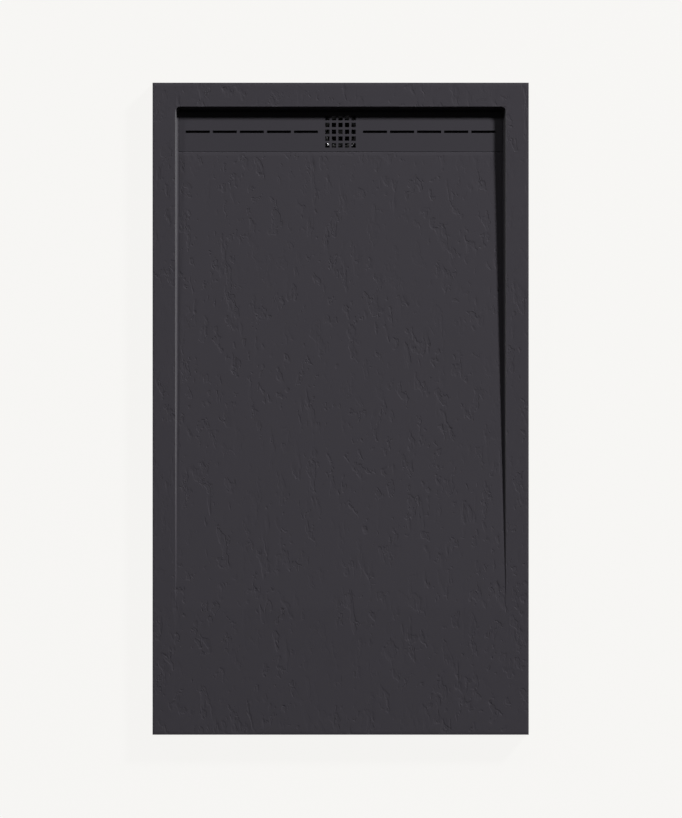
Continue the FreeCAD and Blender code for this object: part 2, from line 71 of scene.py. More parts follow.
HALF_CORNER_LINES = 7
COVER_SIDE_GAP = 0.0012
COVER_FRONT_GAP = 0.0003
LEAST_STEP = 0.00012
SAME_POINT = 1e-6
RIM_EDGE = 0.0003
POCKET_EDGE_ROUND = 0.0015
LEDGE = 0.0165
CHANNEL_END_LEDGE = 0.007
CHANNEL_LEDGE = 0.00675
CHANNEL_CORNER = 0.01
CHANNEL_LOW = 0.0135
CHANNEL_FALL = 0.0015
SEAT_LEVEL = 0.0085
SEAT_GAP = 0.001
SEAT_RADIUS = waste_high.x + SEAT_GAP
SEAT_SIDE_POINTS = 41
SEAT_REAR_POINTS = 25
HOLE_RADIUS = 0.032
RECESS_RADIUS = 0.056
RECESS_DEPTH = 0.002
RECESS_POINTS = 97
GROOVE_PITCH = 0.075
GROOVE_PAIRS = 4
GROOVE_WIDTH = 0.008
GROOVE_DEPTH = 0.002
GROOVE_MARGIN = 0.05
GROOVE_TRAP_MARGIN = 0.04
CELL_ACROSS = 0.00215
CELL_ALONG = 0.0052

WASTE = (waste_low + waste_high) / 2
BASIN_HALF = HALF_WIDTH - SIDE_RIM
BASIN_REAR = HALF_LENGTH - DRAIN_END_RIM
SLOPE_START = ENTRY_LENGTH - HALF_LENGTH
POCKET_FRONT = cover_low.y - COVER_FRONT_GAP
POCKET_HALF = cover_high.x + COVER_SIDE_GAP
POCKET_INSET = BASIN_HALF - POCKET_HALF
FLOOR_FALL = RIM - FLOOR_END


def floor_level(y):
    """The floor: level at the entry, then falling evenly to the round edge of the pocket."""
    fall = FLOOR_FALL / (POCKET_FRONT - SLOPE_START)
    level = RIM - max(0.0, y - SLOPE_START) * fall
    past = y - (POCKET_FRONT - POCKET_EDGE_ROUND)
    if past > 0:
        level -= POCKET_EDGE_ROUND - math.sqrt(max(0, POCKET_EDGE_ROUND**2 - past**2))
    return level


def wall_section(level, to_ledge=False, edge_round=SIDE_EDGE_ROUND):
    """Inset and level of the points down a wall: round edge, steep wall and hollow foot,
    and then down to the ledge, or to the floor at the given level."""
    depth = min(RIM - level, FLOOR_FALL)
    foot_round = min(FOOT_ROUND, SHALLOW_FOOT_ROUND + FOOT_GROWTH * depth)
    rounds = edge_round + foot_round
    steep = min(STEEPEST, math.acos(1 - min(1, depth / rounds)))
    full = edge_round + FOOT_ROUND
    draft = POCKET_INSET - full * math.sin(STEEPEST)
    draft /= FLOOR_FALL - full * (1 - math.cos(STEEPEST))
    wall = max(0, depth - rounds * (1 - math.cos(steep)))
    turns = [steep * k / WALL_EDGE_STEPS for k in range(WALL_EDGE_STEPS + 1)]
    points = [(edge_round * math.sin(t), edge_round * (1 - math.cos(t))) for t in turns]
    inset = points[-1][0] + wall * draft + foot_round * math.sin(steep)
    for k in range(WALL_FOOT_STEPS, -1, -1):
        turn = steep * k / WALL_FOOT_STEPS
        rise = foot_round * (1 - math.cos(turn))
        points.append((inset - foot_round * math.sin(turn), depth - rise))
    points = [(max(x, LEAST_STEP * k), RIM - drop) for k, (x, drop) in enumerate(points)]
    end = points[-1][0]
    if to_ledge:
        return points + [(end, FLOOR_END - POCKET_EDGE_ROUND), (end, LEDGE)]
    if level < FLOOR_END:
        return points + [(end, level), (end + LEAST_STEP, level)]
    return points + [(end + LEAST_STEP, level), (end + 2 * LEAST_STEP, level)]


def steps_between(start, end, size):
    """Evenly spaced lines from start to end, about a size apart."""
    return np.linspace(start, end, max(2, round(abs(end - start) / size) + 1))


def outer_edge(values, limit):
    """Adds the lines of the tray's rounded outer edge beyond the last line of a rim."""
    edge = limit - OUTER_ROUND * (1 - np.sin(ROUND_TURNS))
    return np.concatenate([values[:-1], [edge[0] - RIM_EDGE], edge])


def rim_point(x, y):
    """A point of the rim, which drops at the rounded outer edge."""
    drop = 0.0
    for reach in (HALF_WIDTH - abs(x), HALF_LENGTH - abs(y)):
        inside = OUTER_ROUND - max(reach, 0)
        if inside > 0:
            drop = max(drop, OUTER_ROUND - math.sqrt(max(0, OUTER_ROUND**2 - inside**2)))
    return (x, y, RIM - drop)


# Lines of the mesh across and along the tray
turns = np.linspace(0, math.pi / 4, HALF_CORNER_LINES)
corner_lines = CORNER_RADIUS * np.tan(turns)
side_rim = steps_between(BASIN_HALF + RIM_EDGE, HALF_WIDTH - OUTER_ROUND, CELL_ACROSS)
side_rim = np.concatenate([[BASIN_HALF], outer_edge(side_rim, HALF_WIDTH)])
end_rim = steps_between(BASIN_REAR + RIM_EDGE, HALF_LENGTH - OUTER_ROUND, CELL_ALONG)
end_rim = np.concatenate([[BASIN_REAR], outer_edge(end_rim, HALF_LENGTH)])
front_edge = outer_edge(np.array([0.0, HALF_LENGTH - OUTER_ROUND]), HALF_LENGTH)
front_edge = -front_edge[:0:-1]
half_floor = BASIN_HALF - CORNER_RADIUS
floor_lines = steps_between(-half_floor, half_floor, CELL_ACROSS)
entry_rows = steps_between(front_edge[-1], SLOPE_START, CELL_ALONG)
entry_rows = np.concatenate([front_edge, entry_rows[1:]])
slope_end = POCKET_FRONT - POCKET_EDGE_ROUND - RIM_EDGE
slope_rows = steps_between(SLOPE_START, slope_end, CELL_ALONG)[1:]
round_rows = POCKET_FRONT - POCKET_EDGE_ROUND * (1 - np.sin(ROUND_TURNS))
floor_rows = np.concatenate([entry_rows, slope_rows, round_rows])
pocket_rows = steps_between(POCKET_FRONT, BASIN_REAR - CORNER_RADIUS, CELL_ALONG)
corner_rows = BASIN_REAR - CORNER_RADIUS + corner_lines
rim_rows = np.concatenate([floor_rows, pocket_rows[1:], corner_rows[1:], end_rim[1:]])

casting = bmesh.new()


def add_grid(rows):
    """Faces between neighbouring points of a grid."""
    verts = [[casting.verts.new(p) for p in row] for row in rows]
    for near, far in zip(verts, verts[1:]):
        for a, b, c, d in zip(near, near[1:], far[1:], far):
            casting.faces.new((a, b, c, d))


def add_plane(*loops):
    """A flat surface inside the first loop, with the other loops as holes."""
    edges = []
    for loop in loops:
        verts = [casting.verts.new(p) for p in loop]
        edges += [casting.edges.new(pair) for pair in zip(verts, verts[1:] + verts[:1])]
    bmesh.ops.triangle_fill(casting, use_beauty=True, edges=edges)


# Rims, from the entry end to the drain end
for side in (1, -1):
    add_grid([[rim_point(side * x, y) for x in side_rim] for y in rim_rows])
across = np.concatenate([
    -(half_floor + corner_lines[:0:-1]), floor_lines, half_floor + corner_lines[1:]
])
add_grid([[rim_point(x, y) for x in across] for y in end_rim])

# Entry ground and sloping floor
add_grid([
    [
        rim_point(x, y) if y < SLOPE_START else (x, y, floor_level(y))
        for x in floor_lines
    ]
    for y in floor_rows
])

# Walls down the sides, round the two corners and across the drain end
pocket_face = []
for side in (1, -1):
    rows = []
    for y in floor_rows:
        level = floor_level(y)
        section = wall_section(level) + [(CORNER_RADIUS, level)]
        rows.append([
            (side * (BASIN_HALF - inset), y, rim_point(0, y)[2] if y < SLOPE_START else z)
            for inset, z in section
        ])
    add_grid(rows)
    section = wall_section(FLOOR_END, to_ledge=True)
    add_grid([[(side * (BASIN_HALF - inset), y, z) for inset, z in section] for y in pocket_rows])
    ledge_corner = [(side * POCKET_HALF, POCKET_FRONT, LEDGE)]
    pocket_face.append(ledge_corner + rows[-1][len(section) - 2 :])
    rows = []
    for turn in np.linspace(0, math.pi / 2, 2 * len(turns) - 1):
        turned = turn / (math.pi / 2)
        edge_round = SIDE_EDGE_ROUND + (REAR_EDGE_ROUND - SIDE_EDGE_ROUND) * turned
        section = wall_section(FLOOR_END, True, edge_round)
        rows.append([
            (
                side * (half_floor + (CORNER_RADIUS - inset) * math.cos(turn)),
                BASIN_REAR - CORNER_RADIUS + (CORNER_RADIUS - inset) * math.sin(turn),
                z,
            )
            for inset, z in section
        ])
    add_grid(rows)
    for flip in (1, -1):
        arc = [(math.cos(turn), math.sin(turn)) for turn in turns]
        square = [(1, line / CORNER_RADIUS) for line in corner_lines]
        add_grid([
            [
                (
                    side * (half_floor + CORNER_RADIUS * p[::flip][0]),
                    BASIN_REAR - CORNER_RADIUS + CORNER_RADIUS * p[::flip][1],
                    RIM,
                )
                for p in line
            ]
            for line in (arc, square)
        ])
section = wall_section(FLOOR_END, True, REAR_EDGE_ROUND)
add_grid([[(x, BASIN_REAR - inset, z) for inset, z in section] for x in floor_lines])

# Front face of the pocket, under the floor's round edge
edge = [(x, POCKET_FRONT, floor_level(POCKET_FRONT)) for x in floor_lines]
add_plane(pocket_face[1] + edge + pocket_face[0][::-1])

# Pocket's ledge, the channel that falls to the middle, and the seat of the ring
pocket_rear = BASIN_REAR - POCKET_INSET
foot_radius = CORNER_RADIUS - POCKET_INSET


def arc_points(centre, radius, start, end, count=13):
    """Points on an arc about a centre, from one angle to another in degrees."""
    return [
        (centre[0] + radius * math.cos(t), centre[1] + radius * math.sin(t))
        for t in np.radians(np.linspace(start, end, count))
    ]


ledge_edge = [(POCKET_HALF, y) for y in pocket_rows]
ledge_edge += arc_points((half_floor, BASIN_REAR - CORNER_RADIUS), foot_radius, 0, 90)[1:]
ledge_edge += [(x, pocket_rear) for x in floor_lines[-2::-1]]
ledge_edge += arc_points((-half_floor, BASIN_REAR - CORNER_RADIUS), foot_radius, 90, 180)[1:]
ledge_edge += [(-POCKET_HALF, y) for y in pocket_rows[-2::-1]]
channel_half = POCKET_HALF - CHANNEL_END_LEDGE
channel_near = cover_low.y + CHANNEL_LEDGE
channel_far = cover_high.y - CHANNEL_LEDGE
seat_turn = math.degrees(math.asin((channel_far - WASTE.y) / SEAT_RADIUS))
centre = (WASTE.x, WASTE.y)
right_arc = arc_points(centre, SEAT_RADIUS, -seat_turn, seat_turn, SEAT_SIDE_POINTS)
rear_arc = arc_points(centre, SEAT_RADIUS, seat_turn, 180 - seat_turn, SEAT_REAR_POINTS)
corner_x = channel_half - CHANNEL_CORNER
right_channel = [right_arc[0]]
right_channel += arc_points((corner_x, channel_near + CHANNEL_CORNER), CHANNEL_CORNER, -90, 0)
right_channel += arc_points((corner_x, channel_far - CHANNEL_CORNER), CHANNEL_CORNER, 0, 90)
right_channel += [right_arc[-1]]


def turned_half(outline):
    """The same outline turned half a turn about the waste."""
    return [(2 * centre[0] - x, 2 * centre[1] - y) for x, y in outline]


def channel_level(x):
    """The channel's floor, lowest at the middle."""
    return CHANNEL_LOW + CHANNEL_FALL * abs(x) / channel_half


def at_level(outline, level):
    """An outline at one height, or at the heights of a function of x."""
    return [(x, y, level(x) if callable(level) else level) for x, y in outline]


def upright_wall(outline, *levels):
    """A wall that follows an outline from level to level."""
    add_grid([at_level(outline, level) for level in levels])


ledge_hole = right_channel + rear_arc[1:-1]
ledge_hole += turned_half(right_channel) + turned_half(rear_arc)[1:-1]
add_plane(at_level(ledge_edge, LEDGE), at_level(ledge_hole, LEDGE))
for half in (list, turned_half):
    upright_wall(half(right_channel), LEDGE, channel_level)
    upright_wall(half(rear_arc), LEDGE, channel_level(right_arc[0][0]), SEAT_LEVEL)
    upright_wall(half(right_arc), channel_level, SEAT_LEVEL)
    add_plane(at_level(half(right_channel) + half(right_arc)[-2:0:-1], channel_level))
seat = right_arc[:-1] + rear_arc[:-1] + turned_half(right_arc)[:-1] + turned_half(rear_arc)
narrower = HOLE_RADIUS / SEAT_RADIUS
hole = [
    (centre[0] + (x - centre[0]) * narrower, centre[1] + (y - centre[1]) * narrower)
    for x, y in seat
]
recess = arc_points(centre, RECESS_RADIUS, 0, 360, RECESS_POINTS)
add_grid([at_level(seat, SEAT_LEVEL), at_level(hole, SEAT_LEVEL), at_level(hole, RECESS_DEPTH)])
add_plane(at_level(recess[:-1], RECESS_DEPTH), at_level(hole[:-1], RECESS_DEPTH))
upright_wall(recess, RECESS_DEPTH, 0)

# Outer sides, and the underside with its bonding grooves
entry_strip = np.array([BASIN_HALF - inset for inset, z in wall_section(RIM)])
entry_lines = np.concatenate([
    -side_rim[::-1], -entry_strip[1:], floor_lines, entry_strip[:0:-1], side_rim
])
drain_lines = np.concatenate([-side_rim[:0:-1], across, side_rim[1:]])
for y, lines in ((-HALF_LENGTH, entry_lines), (HALF_LENGTH, drain_lines)):
    top = [(x, y, RIM - OUTER_ROUND) for x in lines]
    add_plane(top + [(HALF_WIDTH, y, 0), (-HALF_WIDTH, y, 0)])
for x in (HALF_WIDTH, -HALF_WIDTH):
    top = [(x, y, RIM - OUTER_ROUND) for y in rim_rows]
    add_plane(top + [(x, HALF_LENGTH, 0), (x, -HALF_LENGTH, 0)])
groove_ends = (GROOVE_MARGIN - HALF_LENGTH, centre[1] - RECESS_RADIUS - GROOVE_TRAP_MARGIN)
grooves = []
for index in range(-GROOVE_PAIRS, GROOVE_PAIRS):
    x = (index + 0.5) * GROOVE_PITCH
    a, b = x - GROOVE_WIDTH / 2, x + GROOVE_WIDTH / 2
    outline = [(a, groove_ends[0]), (b, groove_ends[0]), (b, groove_ends[1]), (a, groove_ends[1])]
    grooves.append(at_level(outline, 0))
    upright_wall(outline + outline[:1], GROOVE_DEPTH, 0)
    add_plane(at_level(outline, GROOVE_DEPTH))
foot = [(x * HALF_WIDTH, y * HALF_LENGTH) for x, y in ((-1, -1), (1, -1), (1, 1), (-1, 1))]
add_plane(at_level(foot, 0), at_level(recess[:-1], 0), *grooves)

bmesh.ops.remove_doubles(casting, verts=casting.verts, dist=SAME_POINT)
bmesh.ops.recalc_face_normals(casting, faces=casting.faces)
tray_mesh = bpy.data.meshes.new("slate_tray")
casting.to_mesh(tray_mesh)
casting.free()
tray = bpy.data.objects.new("slate_tray", tray_mesh)
bpy.context.collection.objects.link(tray)

# How much of the slate's relief each point takes: all of it on rim and floor, less on the
# walls, and none on the outer edges, in the pocket, and below. The walls are smoother and
# more glossy towards the drain, where they are higher.
EDGE_FADE = 0.004
WALL_SHARE = 0.3
WALL_STRIP = 0.0075
WALL_FADE = 0.004
POCKET_FADE = 0.008
PLAIN_BELOW = 0.002
GLOSS_START = 0.001
GLOSS_FULL = 0.0068
GLOSS_FOOT = 0.003
GLOSS_REAR = (0.002, 0.014)


def ease(values, low, high):
    """0 below low, 1 above high, and a smooth step between."""
    share = np.clip((values - low) / (high - low), 0, 1)
    return share * share * (3 - 2 * share)


points = np.array([vert.co for vert in tray_mesh.vertices])
reach_x = HALF_WIDTH - np.abs(points[:, 0])
reach_y = HALF_LENGTH - np.abs(points[:, 1])
inset_x = BASIN_HALF - np.abs(points[:, 0])
inset_y = BASIN_REAR - points[:, 1]
fall = RIM - np.array([floor_level(y) for y in points[:, 1]])
in_basin = (inset_x >= -SAME_POINT) & (inset_y >= -SAME_POINT)
on_wall = in_basin & (np.minimum(inset_x, inset_y) < WALL_STRIP)
share = ease(np.minimum(reach_x, reach_y), OUTER_ROUND, EDGE_FADE)
share *= points[:, 2] > FLOOR_END - PLAIN_BELOW
share *= np.where(on_wall, 1 - (1 - WALL_SHARE) * ease(fall, 0, WALL_FADE), 1)
fade_end = POCKET_FRONT - POCKET_EDGE_ROUND
before_pocket = 1 - ease(points[:, 1], POCKET_FRONT - POCKET_FADE, fade_end)
share *= np.where(in_basin & ~on_wall, before_pocket, 1)
gloss = on_wall * np.clip((fall - GLOSS_START) / (GLOSS_FULL - GLOSS_START), 0, 1)
gloss *= ease(points[:, 2] - RIM + np.minimum(fall, FLOOR_FALL), 0, GLOSS_FOOT)
gloss *= ease(inset_y, *GLOSS_REAR)
for name, values in (("relief_share", share), ("wall_gloss", gloss)):
    held = tray_mesh.attributes.new(name, "FLOAT", "POINT")
    held.data.foreach_set("value", values.astype(np.float32))


class Wire:
    """One value in a node tree, so that sums of values are written as Python."""

    def __init__(self, tree, socket):
        self.tree = tree
        self.socket = socket

    def node(self, kind, settings, inputs, output=0):
        """A new node in the same tree; returns one of its outputs."""
        made = self.tree.nodes.new(kind)
        for name, value in settings.items():
            setattr(made, name, value)
        for name, value in inputs.items():
            if isinstance(value, Wire):
                self.tree.links.new(value.socket, made.inputs[name])
            else:
                made.inputs[name].default_value = value
        return Wire(self.tree, made.outputs[output])

    def math(self, operation, *values):
        return self.node("ShaderNodeMath", {"operation": operation}, dict(enumerate(values)))

    def __add__(self, other):
        return self.math("ADD", self, other)

    def __sub__(self, other):
        return self.math("SUBTRACT", self, other)

    def __rsub__(self, other):
        return self.math("SUBTRACT", other, self)

    def __mul__(self, other):
        return self.math("MULTIPLY", self, other)

    __radd__ = __add__
    __rmul__ = __mul__

    def between(self, low, high):
        """0 below low, 1 above high, and a smooth step between."""
        limits = {"Value": self, "From Min": low, "From Max": high}
        return self.node("ShaderNodeMapRange", {"interpolation_type": "SMOOTHSTEP"}, limits)

    def stretched(self, *sizes):
        """This place, counted in cells of the given sizes."""
        return self.node("ShaderNodeVectorMath", {"operation": "DIVIDE"}, {0: self, 1: sizes})

    def moved(self, shift):
        """This place, moved by a fixed or a varying shift."""
        return self.node("ShaderNodeVectorMath", {"operation": "ADD"}, {0: self, 1: shift})

    def cloud(self, detail=3.0, roughness=0.5):
        """Soft noise from 0 to 1 about this place, one blot to each unit."""
        settings = {"Vector": self, "Scale": 1.0, "Detail": detail, "Roughness": roughness}
        return self.node("ShaderNodeTexNoise", {}, settings)

    def colours(self, low, high):
        """From one colour to another as this value goes from 0 to 1."""
        ends = {0: self, 6: (*low, 1.0), 7: (*high, 1.0)}
        return self.node("ShaderNodeMix", {"data_type": "RGBA"}, ends, 2)

    def feed(self, node, name):
        """Links this value to a socket of a node."""
        self.tree.links.new(self.socket, node.inputs[name])


# The slate mould: fine steps where thin layers broke off, short ones and some long ones,
# and clusters of small chips. They all wander a little, and leave calm areas between them.
MOULD_SLANT = math.radians(-4)
EDGE_SETS = (
    # layer across, along; count; stroke across, along; strokes from, to; start
    (0.040, 0.085, 4.0, 0.024, 0.046, 0.52, 0.56, (0.0, 0.0, 0.0)),
    (0.055, 0.240, 3.0, 0.018, 0.085, 0.60, 0.64, (3.7, 9.1, 0.0)),
    (0.013, 0.021, 3.0, 0.015, 0.019, 0.62, 0.66, (7.3, 2.1, 0.0)),
)
EDGE_BACK = 0.5
WANDER_CELL = 0.014
WANDER_REACH = 0.005
CALM_CELL = (0.13, 0.20)
CALM_LIMITS = (0.50, 0.40)
CALM_SHARE = 0.7
LAYER_DETAIL = 5.0
LAYER_ROUGHNESS = 0.6
STROKE_DETAIL = 2.0


def slate_height(place, edge):
    """Height of the broken layers, with a given share of each as its steep edge."""
    slant = {"Vector": place, "Angle": MOULD_SLANT}
    turned = place.node("ShaderNodeVectorRotate", {"rotation_type": "Z_AXIS"}, slant)
    wander = (turned.stretched(WANDER_CELL, WANDER_CELL, 1.0).cloud(3.0) - 0.5) * WANDER_REACH
    turned = turned.moved(turned.node("ShaderNodeCombineXYZ", {}, {"X": wander}))
    calm = turned.stretched(*CALM_CELL, 1.0).cloud(2.0).between(*CALM_LIMITS)
    height = 1.0
    for across, along, count, wide, long, low, high, start in EDGE_SETS:
        layers = turned.stretched(across, along, 1.0).moved(start)
        layers = layers.cloud(LAYER_DETAIL, LAYER_ROUGHNESS) * count
        step = layers.math("FRACT", layers)
        strokes = turned.stretched(wide, long, 1.0).moved(start)
        strokes = strokes.cloud(STROKE_DETAIL).between(low, high)
        groove = step.between(1 - EDGE_BACK - edge, 1 - edge) - step.between(1 - edge, 1.0)
        height = height - groove * strokes * (1.0 - calm * CALM_SHARE)
    return height


# The relief itself, pressed into the mesh
RELIEF_DEPTH = 0.00015
RELIEF_EDGE = 0.25

relief = bpy.data.node_groups.new("slate_relief", "GeometryNodeTree")
relief.interface.new_socket("Geometry", in_out="INPUT", socket_type="NodeSocketGeometry")
depth_input = relief.interface.new_socket("Depth", in_out="INPUT", socket_type="NodeSocketFloat")
finish_input = relief.interface.new_socket(
    "Finish", in_out="INPUT", socket_type="NodeSocketMaterial"
)
relief.interface.new_socket("Geometry", in_out="OUTPUT", socket_type="NodeSocketGeometry")
start = relief.nodes.new("NodeGroupInput")
body = Wire(relief, start.outputs[0])
place = body.node("GeometryNodeInputPosition", {}, {})
taken = {"Name": "relief_share"}
taken = body.node("GeometryNodeInputNamedAttribute", {"data_type": "FLOAT"}, taken)
cut = (slate_height(place, RELIEF_EDGE) - 1.0) * taken * Wire(relief, start.outputs[1])
drop = body.node("ShaderNodeCombineXYZ", {}, {"Z": cut})
body = body.node("GeometryNodeSetPosition", {}, {"Geometry": body, "Offset": drop})
body = body.node("GeometryNodeRealizeInstances", {}, {"Geometry": body})
coated = {"Geometry": body, "Material": Wire(relief, start.outputs[2])}
body = body.node("GeometryNodeSetMaterial", {}, coated)
end = relief.nodes.new("NodeGroupOutput")
body.feed(end, 0)


def new_finish(name):
    """A new material with its shader and the place on the object."""
    finish = bpy.data.materials.new(name)
    finish.use_nodes = True
    tree = finish.node_tree
    shader = tree.nodes["Principled BSDF"]
    place = Wire(tree, tree.nodes.new("ShaderNodeTexCoord").outputs["Object"])
    return finish, shader, place


def set_bump(height, shader):
    """Turns a height in metres into the surface's normal."""
    bump = height.node("ShaderNodeBump", {}, {"Strength": 1.0, "Distance": 1.0, "Height": height})
    bump.feed(shader, "Normal")


# The resin: matt, faintly cloudy and grained, with pale specks that are painted glints, and the
# relief once more as a crisp bump
RESIN_DARK = (0.0295, 0.0266, 0.0335)
RESIN_PALE = (0.0335, 0.0302, 0.0380)
RESIN_ROUGHNESS = 0.70
STAIN_CELL = (0.05, 0.09, 0.05)
GRAIN_CELL = 0.0009
GRAIN_DEPTH = 0.00002
PAINTED_GLINT_CELL = 0.0045
CRISP_EDGE = 0.045
CRISP_DEPTH = 0.0004

resin, shader, place = new_finish("slate_resin")
shader.inputs["Specular IOR Level"].default_value = 0.3
shader.inputs["Coat Roughness"].default_value = 0.8
shader.inputs["Coat IOR"].default_value = 1.8
stain = place.stretched(*STAIN_CELL).cloud(5.0, 0.6)
grain = place.stretched(GRAIN_CELL, GRAIN_CELL, GRAIN_CELL).cloud(2.0)
# Pale specks put into the base colour are painted glints: small highlights of the mineral filler,
# lighter under any lamp
painted_glint = place.stretched(PAINTED_GLINT_CELL, PAINTED_GLINT_CELL, PAINTED_GLINT_CELL).cloud(1.0).between(0.74, 0.8)
tone = stain * 0.7 + grain * 0.3 + painted_glint * 0.6
tone.colours(RESIN_DARK, RESIN_PALE).feed(shader, "Base Color")
(stain * 0.06 + grain * 0.06 + RESIN_ROUGHNESS).feed(shader, "Roughness")
gloss = place.node("ShaderNodeAttribute", {"attribute_name": "wall_gloss"}, {}, "Fac")
gloss.feed(shader, "Coat Weight")
taken = place.node("ShaderNodeAttribute", {"attribute_name": "relief_share"}, {}, "Fac")
height = slate_height(place, CRISP_EDGE) * taken * CRISP_DEPTH
set_bump(height + grain * GRAIN_DEPTH, shader)

TRAY_SHARP = math.radians(35)

press = tray.modifiers.new("relief", "NODES")
press.node_group = relief
press[depth_input.identifier] = RELIEF_DEPTH
press[finish_input.identifier] = resin
finished = tray.evaluated_get(bpy.context.evaluated_depsgraph_get())
pressed = bpy.data.meshes.new_from_object(finished)
tray.modifiers.clear()
tray.data = pressed
pressed.name = "slate_tray"
for face in pressed.polygons:
    face.use_smooth = True
pressed.set_sharp_from_angle(angle=TRAY_SHARP)
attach(tray, "root")
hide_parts("tray_body")

# Drain cover
# One steel sheet, punched with ten slots and a grid of near-square holes, and powder-coated
# in the tray's colour. It lies loose over the channel on its two rails.
SLOT_LENGTH = 0.048
SLOT_WIDTH = 0.005
SLOT_PITCH = 0.054
SLOT_START = 0.045
SLOT_COUNT = 5
GRID_COUNT = 5
GRID_PITCH_ALONG = 0.0131
GRID_PITCH_ACROSS = 0.0136
HOLE_LENGTH = 0.0086
HOLE_WIDTH = 0.0089
PUNCH_CORNER = 0.0003
PUNCH_OFFSET = 0.0003
SHEET_CORNER = 0.0015
CORNER_STEPS = 4
SHEET_EDGE = 0.00025
SHEET_SHARP = math.radians(60)
FLAT_FACE = 0.999
FRONT_REACH = -0.0004
END_REACH = 0.0006
PAINT_DARK = (0.0254, 0.0229, 0.0298)
PAINT_PALE = (0.0281, 0.0254, 0.0330)
PAINT_ROUGHNESS = 0.5
PAINT_CLOUD = 0.06
PEEL_CELL = 0.0016
PEEL_DEPTH = 0.000012

punching = bpy.data.node_groups.new("punched_sheet", "GeometryNodeTree")
sizes = {
    "Sheet Length": 2 * (cover_high.x + END_REACH),
    "Sheet Width": cover_high.y - cover_low.y + FRONT_REACH,
    "Sheet Thickness": cover_high.z - cover_low.z,
    "Sheet Corner": SHEET_CORNER,
    "Slot Length": SLOT_LENGTH,
    "Slot Width": SLOT_WIDTH,
    "Slot Pitch": SLOT_PITCH,
    "First Slot": SLOT_START + SLOT_LENGTH / 2,
    "Hole Length": HOLE_LENGTH,
    "Hole Width": HOLE_WIDTH,
    "Hole Pitch Along": GRID_PITCH_ALONG,
    "Hole Pitch Across": GRID_PITCH_ACROSS,
    "Punch Corner": PUNCH_CORNER,
}
counts = {"Slots": SLOT_COUNT, "Holes": GRID_COUNT}
kinds = {name: "NodeSocketFloat" for name in sizes}
kinds |= {name: "NodeSocketInt" for name in counts}
kinds |= {"Place": "NodeSocketVector", "Finish": "NodeSocketMaterial"}
inputs = {
    name: punching.interface.new_socket(name, in_out="INPUT", socket_type=kind)
    for name, kind in kinds.items()
}
punching.interface.new_socket("Geometry", in_out="OUTPUT", socket_type="NodeSocketGeometry")
start = punching.nodes.new("NodeGroupInput")
given = {name: Wire(punching, start.outputs[name]) for name in inputs}
first = given["Sheet Length"]


def rounded_outline(length, width, corner):
    """The outline of a rectangle with rounded corners."""
    outline = {"Width": length, "Height": width}
    outline = first.node("GeometryNodeCurvePrimitiveQuadrilateral", {}, outline)
    rounding = {"Curve": outline, "Count": CORNER_STEPS, "Radius": corner, "Limit Radius": True}
    return first.node("GeometryNodeFilletCurve", {"mode": "POLY"}, rounding)


def in_line(x, y, z=0.0):
    """A place or a step from three values."""
    return first.node("ShaderNodeCombineXYZ", {}, {"X": x, "Y": y, "Z": z})


outline = rounded_outline(given["Sheet Length"], given["Sheet Width"], given["Sheet Corner"])
shift = (PUNCH_OFFSET, -FRONT_REACH / 2 - PUNCH_OFFSET, 0.0)
outline = first.node("GeometryNodeTransform", {}, {"Geometry": outline, "Translation": shift})
slot_shape = rounded_outline(given["Slot Length"], given["Slot Width"], given["Punch Corner"])
hole_shape = rounded_outline(given["Hole Length"], given["Hole Width"], given["Punch Corner"])
parts = [outline]
for side in (1.0, -1.0):
    row = {
        "Count": given["Slots"],
        "Start Location": in_line(given["First Slot"] * side, 0.0),
        "Offset": in_line(given["Slot Pitch"] * side, 0.0),
    }
    row = first.node("GeometryNodeMeshLine", {"mode": "OFFSET", "count_mode": "TOTAL"}, row)
    slots = {"Points": row, "Instance": slot_shape}
    parts.append(first.node("GeometryNodeInstanceOnPoints", {}, slots))
gaps = given["Holes"] - 1.0
field = {
    "Size X": given["Hole Pitch Along"] * gaps,
    "Size Y": given["Hole Pitch Across"] * gaps,
    "Vertices X": given["Holes"],
    "Vertices Y": given["Holes"],
}
field = first.node("GeometryNodeMeshGrid", {}, field)
holes = {"Points": field, "Instance": hole_shape}
parts.append(first.node("GeometryNodeInstanceOnPoints", {}, holes))
joined = first.node("GeometryNodeJoinGeometry", {}, {})
for part in reversed(parts):
    part.feed(joined.socket.node, 0)
cuts = first.node("GeometryNodeRealizeInstances", {}, {"Geometry": joined})
underside = first.node("GeometryNodeFillCurve", {"mode": "NGONS"}, {"Curve": cuts})
rise = in_line(0.0, 0.0, given["Sheet Thickness"])
raised = {"Mesh": underside, "Offset": rise, "Offset Scale": 1.0, "Individual": False}
raised = first.node("GeometryNodeExtrudeMesh", {}, raised)
turned = first.node("GeometryNodeFlipFaces", {}, {"Mesh": underside})
closed = first.node("GeometryNodeJoinGeometry", {}, {})
raised.feed(closed.socket.node, 0)
turned.feed(closed.socket.node, 0)
merged = {"Geometry": closed, "Distance": SAME_POINT}
merged = first.node("GeometryNodeMergeByDistance", {}, merged)
placed = {"Geometry": merged, "Offset": given["Place"]}
placed = first.node("GeometryNodeSetPosition", {}, placed)
placed = first.node("GeometryNodeRealizeInstances", {}, {"Geometry": placed})
coated = {"Geometry": placed, "Material": given["Finish"]}
placed = first.node("GeometryNodeSetMaterial", {}, coated)
placed.feed(punching.nodes.new("NodeGroupOutput"), 0)

painted, shader, place = new_finish("painted_steel")
peel = place.stretched(PEEL_CELL, PEEL_CELL, PEEL_CELL).cloud(2.0)
cast = place.stretched(PAINT_CLOUD, PAINT_CLOUD, PAINT_CLOUD).cloud(3.0)
(cast * 0.8 + peel * 0.2).colours(PAINT_DARK, PAINT_PALE).feed(shader, "Base Color")
(peel * 0.08 + PAINT_ROUGHNESS).feed(shader, "Roughness")
set_bump(peel * PEEL_DEPTH, shader)

